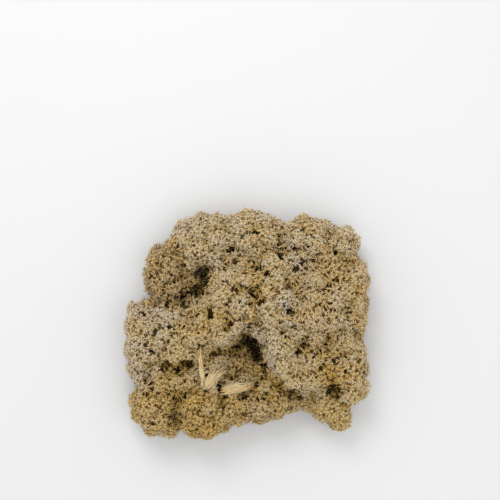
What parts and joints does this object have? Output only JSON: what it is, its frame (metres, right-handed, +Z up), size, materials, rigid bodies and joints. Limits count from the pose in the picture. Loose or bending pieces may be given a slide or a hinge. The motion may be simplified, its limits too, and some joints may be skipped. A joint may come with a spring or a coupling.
{
  "type": "moss clump",
  "caption": "Clump of dried reindeer moss lying flat: springy, finely branched tufts pressed and hooked together, for dressing planters, baskets and craft work.",
  "frame": {"origin": "middle of the clump's box, at the surface it rests on", "axes": "+Z up, out of the resting surface through the clump's thickness; +X along its longest side; +Y along its width, towards the edge with the broad rounded tufts"},
  "size_m": [0.1876, 0.1756, 0.0626],
  "materials": {
    "tan_moss": "matte, dry, finely branched lichen in pale tan",
    "golden_moss": "matte, dry, finely branched lichen in golden khaki",
    "grey_brown_moss": "matte, dry, finely branched lichen in dull grey-brown",
    "pale_stems": "matte, dry, bare pale yellow stems with tan tips"
  },
  "bodies": {
    "root": {"left_tuft": "tan_moss", "upper_left_tuft": "grey_brown_moss", "centre_left_tuft": "golden_moss", "upper_centre_tuft": "tan_moss", "ridge_tuft": "tan_moss", "upper_right_tuft": "tan_moss", "lower_right_tuft": "golden_moss", "right_flank_tuft": "golden_moss", "bottom_right_tuft": "golden_moss", "lower_left_tuft": "golden_moss", "bottom_tuft": "golden_moss", "bottom_centre_tuft": "grey_brown_moss", "inner_tuft": "grey_brown_moss", "stem_tuft": "pale_stems", "top_left_tuft": "tan_moss", "top_centre_tuft": "tan_moss", "top_right_tuft": "tan_moss"}
  },
  "joints": []
}
